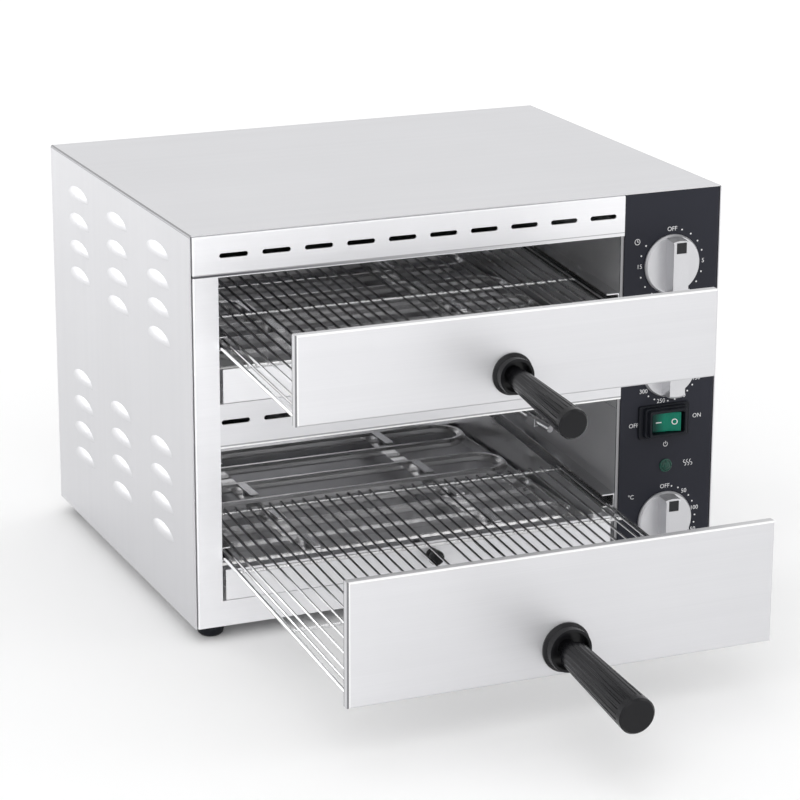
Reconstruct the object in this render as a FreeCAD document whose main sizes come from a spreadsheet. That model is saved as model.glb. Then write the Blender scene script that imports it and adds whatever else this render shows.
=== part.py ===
"""Two-deck counter pizza oven with pull-out wire racks, crumb trays and a side control column.

Housing coordinates: x from the left outer face, y from the front face towards the back, z from the
underside of the housing. The part's own origin is on the standing surface at the centre of the feet,
with the doors facing -Y.
"""
import FreeCAD, Part
import math
import os
import Sketcher

os.makedirs("parts", exist_ok=True)
document = FreeCAD.newDocument("pizza_oven")

SIZES = {
    # Housing, in millimetres
    "body_width": 480,
    "body_depth": 376,
    "body_height": 333,
    "foot_height": 12,
    "sheet": 1.0,
    "frame_sheet": 1.2,
    "wrapper_setback": 1.0,
    "wrapper_bend": 2.0,
    "frame_gap": 1.0,
    "seat_gap": 0.3,
    "base_lip": 32,
    "back_lip": 12,
    # Front openings
    "stile_width": 23.6,
    "header_height": 36,
    "frame_return": 13.2,
    "upper_deck_depth": 142,
    "divider_height": 37.4,
    "bottom_rail_top": 21.8,
    "panel_width": 92,
    "panel_margin": 3,
    "cavity_left": 19.3,
    "rear_gap": 14,
    "roof_gap": 29,
    "liner_flange": 8,
    "deck_seam": 6,
    # Slots across the header and the divider
    "slot_first": 24.8,
    "slot_end": 8.4,
    "slot_length": 24.5,
    "slot_height": 4,
    "slot_count": 10,
    "header_slot_drop": 18.3,
    "divider_slot_drop": 15.4,
    # Louvres pressed out of both sides
    "louvre_first": 80.5,
    "louvre_columns": 3,
    "louvre_level": 58.5,
    "louvre_rise": 24.5,
    "louvre_rows": 4,
    "louvre_top_gap": 32.5,
    "louvre_length": 57,
    "louvre_bulge": 3.2,
    "louvre_swing": 14,
    # Vents in the back panel
    "vent_first": 90,
    "vent_count": 16,
    "vent_width": 4,
    "vent_height": 34,
    "vent_drop": 71,
    # Racks, their channels and the doors on them
    "rack_fall": 4.25,
    "upper_rod_rise": 47.2,
    "lower_rod_rise": 37.2,
    "upper_pull": 164.9,
    "lower_pull": 266.9,
    "rod_inset": 6.85,
    "rod_radius": 1.9,
    "bar_radius": 1.7,
    "wire_radius": 1.1,
    "wire_level": 2.9,
    "edge_wire_gap": 6.75,
    "wires_per_side": 16,
    "centre_gap": 19.5,
    "edge_wire_offset": 5,
    "rack_length": 355,
    "wire_overhang": 2.5,
    "strip_depth": 12,
    "strip_sheet": 1.5,
    "rail_size": 12,
    "rail_sheet": 1,
    "rail_start": 2.5,
    "rail_length": 352,
    "rail_headroom": 10,
    "door_play": 5.7,
    "door_depth": 7.5,
    "door_sheet": 1.2,
    "door_bend": 1.5,
    "upper_door_height": 72,
    "lower_door_height": 100,
    "upper_door_drop": 4.8,
    "lower_door_drop": 7.8,
    # Handles
    "handle_fall": 5.5,
    "handle_rise": 22.5,
    "upper_handle_length": 109,
    "lower_handle_length": 120,
    "upper_grip_radius": 12.2,
    "lower_grip_radius": 14.7,
    "upper_cup_radius": 17,
    "lower_cup_radius": 20,
    "cup_depth": 10,
    "cup_floor": 2,
    "cup_wall": 2.6,
    "cup_flange": 1.6,
    "cup_step": 1,
    "cup_shoulder": 2,
    "grip_taper": 2.4,
    "flute_count": 20,
    "flute_depth": 0.9,
    "grip_cap": 7,
    "neck_radius": 7.5,
    "neck_clear": 3,
    "grip_edge": 1.5,
    "grip_core_inset": 1.4,
    "handle_screw_radius": 2.5,
    "handle_screw_depth": 16,
    "handle_screw_head": 4.5,
    # Crumb trays
    "tray_gap_left": 7.7,
    "tray_gap_right": 3.5,
    "tray_front": 1,
    "tray_length": 350,
    "tray_depth": 10.5,
    "upper_tray_front_height": 28.4,
    "lower_tray_front_height": 26.2,
    "tray_knob_rise": 14.5,
    "tray_knob_offset": 9.85,
    "tray_knob_radius": 6.5,
    "tray_knob_length": 13,
    "tray_knob_stem": 4,
    "tray_knob_stud_radius": 2,
    "tray_knob_nut_radius": 3.5,
    "tray_knob_nut": 2.5,
    "tray_knob_edge": 1.5,
    # Heating elements and the frames that carry them
    "element_radius": 4,
    "element_level": 18.2,
    "element_first": 31,
    "element_pitch": 40,
    "element_rear_first": 175,
    "element_rear_pitch": 47,
    "element_left": 70,
    "element_turn_gap": 40,
    "element_end": 6,
    "liner_hole_clearance": 0.4,
    "frame_front": 18,
    "frame_rear_gap": 10,
    "frame_leg": 11,
    "strip_left": 120,
    "strip_inset": 95,
    "strip_width": 14,
    "strip_thickness": 1.3,
    "lug_stem": 4,
    "lug_length": 34,
    "lug_thickness": 1.6,
    # Temperature sensors on the right wall
    "sensor_y": 153,
    "upper_sensor_rise": 75,
    "lower_sensor_rise": 66.2,
    "sensor_radius": 3,
    "sensor_length": 64,
    "clip_width": 16,
    "clip_height": 15,
    "clip_sheet": 1,
    "clip_eye_drop": 4,
    "clip_eye_radius": 1.8,
    # Control column
    "control_inset": 47,
    "timer_drop": 64.5,
    "upper_thermostat_level": 177,
    "lower_thermostat_level": 38.5,
    "knob_radius": 26,
    "knob_skirt": 3.6,
    "knob_height": 17.5,
    "knob_bar": 14.5,
    "knob_draft": 1.2,
    "knob_gap": 0.4,
    "knob_rim": 1.6,
    "knob_edge": 1.5,
    "pointer_size": 9.5,
    "pointer_offset": 17.5,
    "pointer_depth": 0.5,
    "shaft_radius": 3,
    "shaft_fit": 0.05,
    "shaft_reach": 13,
    "shaft_hole": 5,
    "timer_size": 44,
    "timer_thickness": 34,
    "thermostat_size": 34,
    "thermostat_thickness": 12,
    "thermostat_can_radius": 14,
    "thermostat_can_depth": 14,
    "timer_can_margin": 4,
    "timer_can_depth": 6,
    "tag_width": 6,
    "tag_thickness": 0.8,
    "tag_length": 7,
    "switch_inset": 50.5,
    "switch_level": 129.5,
    "boot_width": 49,
    "boot_height": 30,
    "boot_base": 3,
    "window_width": 36,
    "window_height": 23,
    "boot_rise": 8,
    "window_wall": 2.2,
    "rocker_width": 25,
    "rocker_height": 16.6,
    "rocker_low": 5,
    "rocker_high": 9.4,
    "rocker_back": 2.5,
    "rocker_waist": 6,
    "rocker_room": 3,
    "switch_body_width": 30,
    "switch_body_height": 20,
    "switch_body_depth": 24,
    "pivot_radius": 1.5,
    "pivot_length": 1.5,
    "cheek_width": 8,
    "cheek_thickness": 1,
    "rocker_valley": 4,
    "rocker_base": 10,
    "rocker_edge": 1,
    "switch_tag_pitch": 9,
    "lamp_level": 88.2,
    "lamp_radius": 6,
    "lamp_rise": 3,
    "lamp_rim": 1.2,
    "lamp_flange": 2.5,
    "lamp_nut": 3,
    "lamp_body_radius": 4.5,
    "lamp_body_depth": 26,
    "gland_level": 34,
    "gland_radius": 11,
    "gland_shoulder": 2,
    "gland_bore": 4.5,
    "gland_reach": 14,
    "gland_collar": 3,
    "gland_neck": 8,
    "gland_edge": 1,
    "gland_nut": 5,
    "gland_tail_radius": 7.5,
    "gland_tail": 3,
    # Feet and fasteners
    "foot_radius": 12,
    "foot_straight": 5,
    "foot_tread_radius": 10.5,
    "foot_round": 2,
    "foot_inset": 19,
    "foot_screw_radius": 2.5,
    "foot_screw_head": 4,
    "foot_screw_head_height": 3,
    "foot_recess_depth": 6,
    "foot_recess_radius": 5,
    "foot_recess_mouth": 2.5,
    "back_screw_radius": 1.9,
    "back_screw_head": 3.6,
    "back_screw_head_height": 1.8,
    "back_screw_length": 8,
}

sheet = document.addObject("Spreadsheet::Sheet", "Dims")
for row, (alias, number) in enumerate(SIZES.items(), start=1):
    sheet.set(f"A{row}", alias)
    sheet.set(f"B{row}", str(number))
    sheet.setAlias(f"B{row}", alias)
document.recompute()


class Size:
    """A number together with the sheet formula that gives it."""

    def __init__(self, value, formula):
        self.value = float(value)
        self.formula = formula

    def joined(self, other, sign, value):
        return Size(value, f"({self.formula} {sign} {as_size(other).formula})")

    def __add__(self, other):
        return self.joined(other, "+", self.value + as_size(other).value)

    def __sub__(self, other):
        return self.joined(other, "-", self.value - as_size(other).value)

    def __mul__(self, other):
        return self.joined(other, "*", self.value * as_size(other).value)

    def __truediv__(self, other):
        return self.joined(other, "/", self.value / as_size(other).value)

    def __radd__(self, other):
        return as_size(other) + self

    def __rsub__(self, other):
        return as_size(other) - self

    def __rmul__(self, other):
        return as_size(other) * self

    def __neg__(self):
        return as_size(0) - self


def as_size(number):
    return number if isinstance(number, Size) else Size(number, f"({float(number)})")


def sine(angle):
    return Size(math.sin(math.radians(angle.value)), f"sin({angle.formula})")


def cosine(angle):
    return Size(math.cos(math.radians(angle.value)), f"cos({angle.formula})")


def angle_of_cosine(ratio):
    return Size(math.degrees(math.acos(ratio.value)), f"acos({ratio.formula})")


class Dims:
    """Each named size of the sheet, as a Size."""

    def __getattr__(self, name):
        return Size(SIZES[name], f"Dims.{name}")


dims = Dims()


def bind(thing, path, size):
    thing.setExpression(path, as_size(size).formula)


# The front faces -Y and the housing stands on its feet
def from_housing(x=0, y=0, z=0):
    return x - dims.body_width / 2, y - dims.body_depth / 2, z + dims.foot_height


def place(thing, position, tilt=None):
    """Put a sub-part at a position in the part's frame, leaning about X by the tilt."""
    if tilt is not None:
        lean = FreeCAD.Rotation(FreeCAD.Vector(1, 0, 0), tilt.value)
        thing.Placement = FreeCAD.Placement(FreeCAD.Vector(), lean)
        bind(thing, "Placement.Rotation.Angle", tilt)
    for letter, size in zip("xyz", position):
        bind(thing, f"Placement.Base.{letter}", size)


nodes = []


def new_body(name, position=None, tilt=None):
    body = document.addObject("PartDesign::Body", name)
    body.Label = name
    place(body, position or from_housing(), tilt)
    nodes.append(body)
    return body


def new_sketch(body, plane, level=0, lean=None):
    """A sketch on one of the body's own planes, moved along that plane's axis."""
    sketch = body.newObject("Sketcher::SketchObject", "outline")
    base = next(f for f in body.Origin.OriginFeatures if f.Role == plane + "_Plane")
    sketch.AttachmentSupport = (base, [""])
    sketch.MapMode = "FlatFace"
    if lean is not None:
        turned = FreeCAD.Rotation(FreeCAD.Vector(1, 0, 0), lean.value)
        sketch.AttachmentOffset = FreeCAD.Placement(FreeCAD.Vector(), turned)
        bind(sketch, "AttachmentOffset.Rotation.Angle", lean)
    bind(sketch, "AttachmentOffset.Base.z", facing(sketch) * as_size(level))
    return sketch


def facing(sketch):
    """The XZ plane's normal looks along -Y, the others along their positive axis."""
    return -1 if sketch.AttachmentSupport[0][0].Role == "XZ_Plane" else 1


def pin(sketch, edge, end, point, kinds=("DistanceX", "DistanceY")):
    pin_all(sketch, [(edge, end, point)], kinds)


def pin_all(sketch, places, kinds=("DistanceX", "DistanceY")):
    """Tie points of the sketch's edges to their sizes, measured from its origin."""
    constraints = []
    formulas = []
    for edge, end, point in places:
        for kind in kinds:
            size = as_size(point[("DistanceX", "DistanceY").index(kind)])
            constraints.append(Sketcher.Constraint(kind, edge, end, size.value))
            formulas.append(size.formula)
    numbers = sketch.addConstraint(constraints)
    for number, formula in zip(numbers, formulas):
        if "Dims" in formula:
            sketch.setExpression(f"Constraints[{number}]", formula)


def flat(point):
    return FreeCAD.Vector(as_size(point[0]).value, as_size(point[1]).value, 0)


def line(sketch, start, end):
    edge = sketch.addGeometry(Part.LineSegment(flat(start), flat(end)), False)
    pin(sketch, edge, 1, start)
    pin(sketch, edge, 2, end)


def arc(sketch, start, end, centre):
    """An anticlockwise arc whose chord isn't horizontal."""
    middle = flat(centre)
    angles = [math.atan2((flat(p) - middle).y, (flat(p) - middle).x) for p in (start, end)]
    round_edge = Part.Circle(middle, FreeCAD.Vector(0, 0, 1), (flat(start) - middle).Length)
    edge = sketch.addGeometry(Part.ArcOfCircle(round_edge, angles[0], angles[1]), False)
    pin(sketch, edge, 1, start)
    pin(sketch, edge, 2, end)
    pin(sketch, edge, 3, centre, kinds=("DistanceX",))


def loop(sketch, corners):
    """A closed outline with straight sides."""
    first = sketch.GeometryCount
    ends = corners[1:] + corners[:1]
    sketch.addGeometry([Part.LineSegment(flat(a), flat(b)) for a, b in zip(corners, ends)], False)
    last = first + len(corners) - 1
    joins = [Sketcher.Constraint("Coincident", edge, 2, edge + 1, 1) for edge in range(first, last)]
    sketch.addConstraint(joins + [Sketcher.Constraint("Coincident", last, 2, first, 1)])
    pin_all(sketch, [(first + index, 1, corner) for index, corner in enumerate(corners)])


def rectangle(sketch, left, right, bottom, top):
    loop(sketch, [(left, bottom), (right, bottom), (right, top), (left, top)])


def stadium(sketch, left, right, level, half):
    """A slot with round ends, along the sketch's first axis."""
    inner_left = left + half
    inner_right = right - half
    low = level - half
    high = level + half
    line(sketch, (inner_left, low), (inner_right, low))
    arc(sketch, (inner_right, low), (inner_right, high), (inner_right, level))
    line(sketch, (inner_right, high), (inner_left, high))
    arc(sketch, (inner_left, high), (inner_left, low), (inner_left, level))


def circle(sketch, centre, radius):
    size = as_size(radius)
    edge = sketch.addGeometry(Part.Circle(flat(centre), FreeCAD.Vector(0, 0, 1), size.value), False)
    pin(sketch, edge, 3, centre)
    number = sketch.addConstraint(Sketcher.Constraint("Radius", edge, size.value))
    bind(sketch, f"Constraints[{number}]", size)


def eight_sided(sketch, centre, radius):
    """A thin rod's section, flat side down, whose flats lie at the radius."""
    reach = radius / math.cos(math.pi / 8)
    turns = [math.pi / 8 + index * math.pi / 4 for index in range(8)]
    loop(sketch, [(centre[0] + reach * math.cos(a), centre[1] + reach * math.sin(a)) for a in turns])


def pad(sketch, length, toward=1):
    feature = sketch.getParent().newObject("PartDesign::Pad", "pad")
    feature.Profile = sketch
    feature.Reversed = toward * facing(sketch) < 0
    bind(feature, "Length", length)
    return feature


def cut(sketch, depth, toward=1):
    feature = sketch.getParent().newObject("PartDesign::Pocket", "cut")
    feature.Profile = sketch
    feature.Reversed = toward * facing(sketch) > 0
    bind(feature, "Length", depth)
    return feature


def turned(sketch, kind="PartDesign::Revolution", axis="V_Axis"):
    feature = sketch.getParent().newObject(kind, "turned")
    feature.Profile = sketch
    feature.ReferenceAxis = (sketch, [axis])
    feature.Angle = 360
    return feature


def extruded(body, plane, corners, level, length, toward=1):
    sketch = new_sketch(body, plane, level)
    loop(sketch, corners)
    return pad(sketch, length, toward)


def slab(body, plane, left, right, bottom, top, level, length, toward=1):
    corners = [(left, bottom), (right, bottom), (right, top), (left, top)]
    return extruded(body, plane, corners, level, length, toward)


def repeated(body, originals, directions):
    """Copy features along the body's own axes: each direction is an axis, a pitch and a count."""
    pattern = body.newObject("PartDesign::MultiTransform", "copies")
    pattern.Originals = originals
    steps = []
    for letter, pitch, count in directions:
        step = body.newObject("PartDesign::LinearPattern", "copies_along_" + letter)
        axis = next(f for f in body.Origin.OriginFeatures if f.Role == letter + "_Axis")
        step.Direction = (axis, [""])
        step.Occurrences = count
        bind(step, "Length", pitch * (count - 1))
        steps.append(step)
    pattern.Transformations = steps
    body.Tip = pattern
    return pattern


def rounded_edges(body, radius, wanted):
    """Fillet the edges of the body's last feature that the test picks by their centre and direction."""
    document.recompute()
    last = body.Tip
    names = []
    for number, edge in enumerate(last.Shape.Edges, start=1):
        if edge.Curve.TypeId != "Part::GeomLine":
            continue
        if wanted(edge.CenterOfMass, edge.tangentAt(edge.FirstParameter)):
            names.append(f"Edge{number}")
    feature = body.newObject("PartDesign::Fillet", "bend")
    feature.Base = (last, names)
    bind(feature, "Radius", radius)
    return feature


def near(first, second):
    return abs(first - as_size(second).value) < 0.01


# Places worked out from the sizes
panel_left = dims.body_width - dims.panel_width
cavity_right = panel_left - dims.panel_margin
cavity_middle = (dims.cavity_left + cavity_right) / 2
cavity_back = dims.body_depth - dims.rear_gap
ceiling = dims.body_height - dims.roof_gap
divider_top = dims.body_height - dims.upper_deck_depth
divider_bottom = divider_top - dims.divider_height
control_x = dims.body_width - dims.control_inset
slots_right = panel_left - dims.slot_end - dims.slot_length
slot_pitch = (slots_right - dims.slot_first) / (SIZES["slot_count"] - 1)
rod_spread = (cavity_right - dims.cavity_left) / 2 - dims.rod_inset
door_width = cavity_right - dims.cavity_left - dims.door_play
upper_rod_level = divider_top + dims.upper_rod_rise
lower_rod_level = dims.bottom_rail_top + dims.lower_rod_rise
timer_level = dims.body_height - dims.timer_drop


def outer_housing():
    """Top and both sides, folded from one sheet, with louvres pressed out of the sides."""
    body = new_body("outer_housing")
    width = dims.body_width
    height = dims.body_height
    t = dims.sheet
    lip = dims.base_lip
    length = dims.body_depth - dims.sheet - dims.wrapper_setback
    corners = [
        (0, 0), (lip, 0), (lip, t), (t, t), (t, height - t), (width - t, height - t),
        (width - t, t), (width - lip, t), (width - lip, 0), (width, 0), (width, height), (0, height),
    ]
    extruded(body, "XZ", corners, dims.wrapper_setback, length)
    rounded_edges(body, dims.wrapper_bend, lambda c, d: (
        abs(d.y) > 0.9 and near(c.z, height) and (near(c.x, 0) or near(c.x, width))))
    back = dims.body_depth - t
    sides = [(t, dims.back_lip), (width - dims.back_lip, width - t)]
    for left, right in sides:
        slab(body, "XZ", left, right, t, height - t, back, t, -1)
    slab(body, "XZ", dims.back_lip, width - dims.back_lip, height - dims.back_lip, height - t, back, t, -1)
    notches = new_sketch(body, "XY")
    rectangle(notches, t, lip, 0, dims.frame_return)
    rectangle(notches, width - lip, width - t, 0, dims.frame_return)
    for centre in foot_places():
        circle(notches, centre, dims.foot_screw_radius)
    cut(notches, t)
    holes = new_sketch(body, "XZ", back)
    for centre in back_screw_places():
        circle(holes, centre, dims.back_screw_radius)
    cut(holes, t, -1)
    features = []
    for face, outward in ((0, -1), (width, 1)):
        features += louvre(body, face, outward)
    columns = SIZES["louvre_columns"]
    rows = SIZES["louvre_rows"]
    tall = dims.louvre_rise * (rows - 1)
    highest = dims.body_height - dims.louvre_top_gap
    repeated(body, features, [
        ("Y", (dims.body_depth - 2 * dims.louvre_first) / (columns - 1), columns),
        ("Z", dims.louvre_rise, rows),
        ("Z", highest - tall - dims.louvre_level, 2)])
    half = dims.louvre_length / 2
    for face, inward in ((t, 1), (width - t, -1)):
        inside = new_sketch(body, "YZ", face)
        rectangle(
            inside, dims.louvre_first - half, dims.body_depth - dims.louvre_first + half,
            dims.louvre_level, highest + dims.louvre_rise)
        cut(inside, dims.louvre_bulge, inward)


def louvre(body, face, outward):
    """One hood, a slice of a bowl that is open along its lower edge, and the hollow behind it."""
    middle = dims.louvre_first
    half = dims.louvre_length / 2
    bulge = dims.louvre_bulge
    bend = (half * half + bulge * bulge) / (2 * bulge)
    hinge = face - outward * dims.louvre_swing
    pivot = new_sketch(body, "XY", dims.louvre_level)
    line(pivot, (hinge, middle + outward * half), (hinge, middle - outward * half))
    made = []
    for kind, chord in (
            ("PartDesign::Revolution", face),
            ("PartDesign::Groove", face - outward * dims.sheet)):
        profile = new_sketch(body, "XY", dims.louvre_level)
        first = (chord, middle - outward * half)
        last = (chord, middle + outward * half)
        arc(profile, first, last, (chord - outward * (bend - bulge), middle))
        line(profile, last, first)
        swung = turned(profile, kind)
        swung.ReferenceAxis = (pivot, ["Edge1"])
        bind(swung, "Angle", angle_of_cosine(dims.louvre_swing / (dims.louvre_swing + bulge)))
        made.append(swung)
    return made


def back_panel():
    """Flat rear sheet with a band of vents, screwed to the housing's back lips."""
    body = new_body("back_panel")
    gap = dims.seat_gap
    left = dims.wrapper_bend + gap
    right = dims.body_width - left
    top = dims.body_height - left
    level = dims.body_depth - dims.sheet
    slab(body, "XZ", left, right, gap, top, level, dims.sheet)
    vents = new_sketch(body, "XZ", level)
    count = SIZES["vent_count"]
    pitch = (dims.body_width - 2 * dims.vent_first) / (count - 1)
    middle_level = dims.body_height - dims.vent_drop
    half = dims.vent_width / 2
    reach = dims.vent_height / 2
    for index in range(count):
        middle = dims.vent_first + pitch * index
        rectangle(vents, middle - half, middle + half, middle_level - reach, middle_level + reach)
    cut(vents, dims.sheet)
    holes = new_sketch(body, "XZ", level)
    circle(holes, (control_x, dims.gland_level), dims.gland_radius - dims.gland_shoulder)
    for x, z in back_screw_places():
        circle(holes, (x, z), dims.back_screw_radius)
    cut(holes, dims.sheet)


def back_screw_places():
    inset = dims.back_lip / 2 + dims.sheet
    low = dims.base_lip
    high = dims.body_height - dims.base_lip
    return [(x, z) for x in (inset, dims.body_width - inset) for z in (low, (low + high) / 2, high)]


def base_plate():
    """Floor of the housing, lying on the side sheets' bottom lips."""
    body = new_body("base_plate")
    gap = dims.seat_gap
    left = dims.sheet + gap
    right = dims.body_width - left
    front = dims.frame_return
    back = dims.body_depth - 2 * dims.sheet
    slab(body, "XY", left, right, front, back, dims.sheet, dims.sheet)
    slab(body, "XZ", left, right, dims.sheet, dims.base_lip / 2, back, dims.sheet, -1)
    holes = new_sketch(body, "XY", dims.sheet)
    for x, y in foot_places():
        circle(holes, (x, y), dims.foot_screw_radius)
    cut(holes, dims.sheet)


def foot_places():
    inset = dims.foot_inset
    return [(x, y) for x in (inset, dims.body_width - inset) for y in (inset, dims.body_depth - inset)]


def front_frame():
    """Left stile and header of the front, bent back along their outer edges."""
    body = new_body("front_frame")
    t = dims.frame_sheet
    left = dims.sheet + dims.frame_gap
    top = dims.body_height - dims.sheet - dims.seat_gap
    low = dims.body_height - dims.header_height
    right = panel_left - dims.seat_gap
    corners = [
        (left, 0), (dims.stile_width, 0), (dims.stile_width, low), (right, low), (right, top), (left, top)]
    extruded(body, "XZ", corners, 0, t)
    slab(body, "XZ", left, left + t, 0, top, t, dims.frame_return - t)
    slab(body, "XZ", left, right, top - t, top, t, dims.frame_return - t)
    rounded_edges(body, t, lambda c, d: near(c.y, 0) and (near(c.x, left) or near(c.z, top)))
    slots = new_sketch(body, "XZ", 0)
    row_of_slots(slots, dims.body_height - dims.header_slot_drop)
    cut(slots, t)


def row_of_slots(sketch, level):
    for index in range(SIZES["slot_count"]):
        left = dims.slot_first + slot_pitch * index
        stadium(sketch, left, left + dims.slot_length, level, dims.slot_height / 2)


def cross_rail(name, low, high):
    """A flanged strip across the front, between the stile and the control panel."""
    body = new_body(name)
    t = dims.frame_sheet
    back = dims.frame_return
    corners = [
        (0, low), (back, low), (back, low + t), (t, low + t),
        (t, high - t), (back, high - t), (back, high), (0, high)]
    extruded(body, "YZ", corners, dims.stile_width, cavity_right - dims.stile_width)
    slab(body, "XZ", cavity_right, panel_left - dims.seat_gap, low, high, 0, t)
    return body


def control_panel():
    """Dark front plate of the control column, with the openings for its controls."""
    body = new_body("control_panel")
    t = dims.frame_sheet
    right = dims.body_width - dims.sheet - dims.frame_gap
    top = dims.body_height - dims.sheet - dims.seat_gap
    slab(body, "XZ", panel_left, right, 0, top, 0, t)
    slab(body, "XZ", right - t, right, 0, top, t, dims.frame_return - t)
    slab(body, "XZ", panel_left, right, top - t, top, t, dims.frame_return - t)
    slab(body, "XZ", panel_left, right, 0, dims.sheet, t, dims.frame_return - t)
    rounded_edges(body, t, lambda c, d: near(c.y, 0) and (near(c.x, right) or near(c.z, top)))
    openings = new_sketch(body, "XZ", 0)
    for level in (timer_level, dims.upper_thermostat_level, dims.lower_thermostat_level):
        circle(openings, (control_x, level), dims.shaft_hole)
    circle(openings, (control_x, dims.lamp_level), dims.lamp_body_radius)
    across = dims.switch_body_width / 2
    rise = dims.switch_body_height / 2
    switch_x = dims.body_width - dims.switch_inset
    low = dims.switch_level - rise
    rectangle(openings, switch_x - across, switch_x + across, low, dims.switch_level + rise)
    cut(openings, t)


def side_liner(name, face, outward, run_holes):
    """One side wall of the cooking space, flanged away from it at the top, foot and front."""
    body = new_body(name)
    t = dims.sheet
    low = 2 * dims.sheet
    far = face + outward * dims.liner_flange
    skin = face + outward * t
    corners = [
        (face, low), (far, low), (far, low + t), (skin, low + t), (skin, ceiling - t),
        (far, ceiling - t), (far, ceiling), (face, ceiling)]
    front = dims.frame_sheet + dims.seat_gap
    extruded(body, "XZ", corners, front, cavity_back - front)
    edges = sorted((face, far), key=lambda size: size.value)
    slab(body, "XZ", edges[0], edges[1], low, ceiling, dims.frame_sheet, t)
    if run_holes:
        holes = new_sketch(body, "YZ", face)
        radius = dims.element_radius + dims.liner_hole_clearance
        for floor in (dims.bottom_rail_top, divider_top):
            for first, pitch in element_rows():
                for run in (first, first + 3 * pitch):
                    circle(holes, (run, floor + dims.element_level), radius)
        cut(holes, t, outward)


def rear_liner():
    body = new_body("rear_liner")
    left = dims.cavity_left - dims.liner_flange
    right = cavity_right + dims.liner_flange
    slab(body, "XZ", left, right, 2 * dims.sheet, ceiling, cavity_back, dims.sheet)


def top_liner():
    body = new_body("top_liner")
    left = dims.cavity_left - dims.liner_flange
    right = cavity_right + dims.liner_flange
    back = cavity_back + dims.sheet
    t = dims.sheet
    slab(body, "XY", left, right, dims.frame_sheet, back, ceiling, t)
    slab(body, "XZ", left, right, ceiling, ceiling + dims.liner_flange, back, t, -1)
    slab(body, "XZ", left, right, ceiling, ceiling + dims.liner_flange, dims.frame_sheet, t)


def middle_deck():
    """Hollow floor of the upper deck and ceiling of the lower one, folded with a seam below."""
    body = new_body("middle_deck")
    t = dims.sheet
    left = dims.cavity_left
    right = cavity_right
    low = divider_bottom
    high = divider_top
    seam_left = cavity_middle - dims.deck_seam / 2
    seam_right = cavity_middle + dims.deck_seam / 2
    corners = [
        (seam_right, low), (right, low), (right, high), (left, high), (left, low), (seam_left, low),
        (seam_left, low + t), (left + t, low + t), (left + t, high - t), (right - t, high - t),
        (right - t, low + t), (seam_right, low + t)]
    extruded(body, "XZ", corners, dims.frame_return, cavity_back - dims.frame_return)


def bottom_deck():
    """Floor of the lower deck, on two legs folded down to the base plate."""
    body = new_body("bottom_deck")
    t = dims.sheet
    left = dims.cavity_left
    right = cavity_right
    foot = 2 * dims.sheet
    high = dims.bottom_rail_top
    corners = [
        (left, foot), (left + t, foot), (left + t, high - t), (right - t, high - t), (right - t, foot),
        (right, foot), (right, high), (left, high)]
    extruded(body, "XZ", corners, dims.frame_return, cavity_back - dims.frame_return)


def channel(name, wall, inward, rod_level):
    """A rack's channel: it falls to the front with the rack and opens into the cooking space."""
    x, y, z = from_housing(wall, 0, rod_level)
    body = new_body(name, (x, y, z), dims.rack_fall)
    t = dims.rail_sheet
    reach = inward * dims.rail_size
    skin = inward * t
    seat = 0 - dims.rod_radius - dims.seat_gap
    roof = seat + dims.rail_headroom
    corners = [
        (0, seat - t), (reach, seat - t), (reach, seat), (skin, seat), (skin, roof),
        (reach, roof), (reach, roof + t), (0, roof + t)]
    extruded(body, "XZ", corners, dims.rail_start, dims.rail_length)


def element_rows():
    """First run and pitch of the front and of the rear element, from the front face."""
    return [(dims.element_first, dims.element_pitch), (dims.element_rear_first, dims.element_rear_pitch)]


def element(name, floor, first, pitch):
    """A sheathed heating tube bent into four runs, with both ends out through the left wall."""
    body = new_body(name)
    level = floor + dims.element_level
    path = new_sketch(body, "XY", level)
    runs = [first + pitch * index for index in range(4)]
    start = dims.element_end
    left = dims.element_left
    right = cavity_right - dims.element_turn_gap
    line(path, (start, runs[0]), (right, runs[0]))
    arc(path, (right, runs[0]), (right, runs[1]), (right, (runs[0] + runs[1]) / 2))
    line(path, (right, runs[1]), (left, runs[1]))
    arc(path, (left, runs[2]), (left, runs[1]), (left, (runs[1] + runs[2]) / 2))
    line(path, (left, runs[2]), (right, runs[2]))
    arc(path, (right, runs[2]), (right, runs[3]), (right, (runs[2] + runs[3]) / 2))
    line(path, (right, runs[3]), (start, runs[3]))
    section = new_sketch(body, "YZ", start)
    eight_sided(section, (runs[0], level), dims.element_radius)
    tube = body.newObject("PartDesign::AdditivePipe", "tube")
    tube.Profile = section
    tube.Spine = (path, [])
    return body


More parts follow.
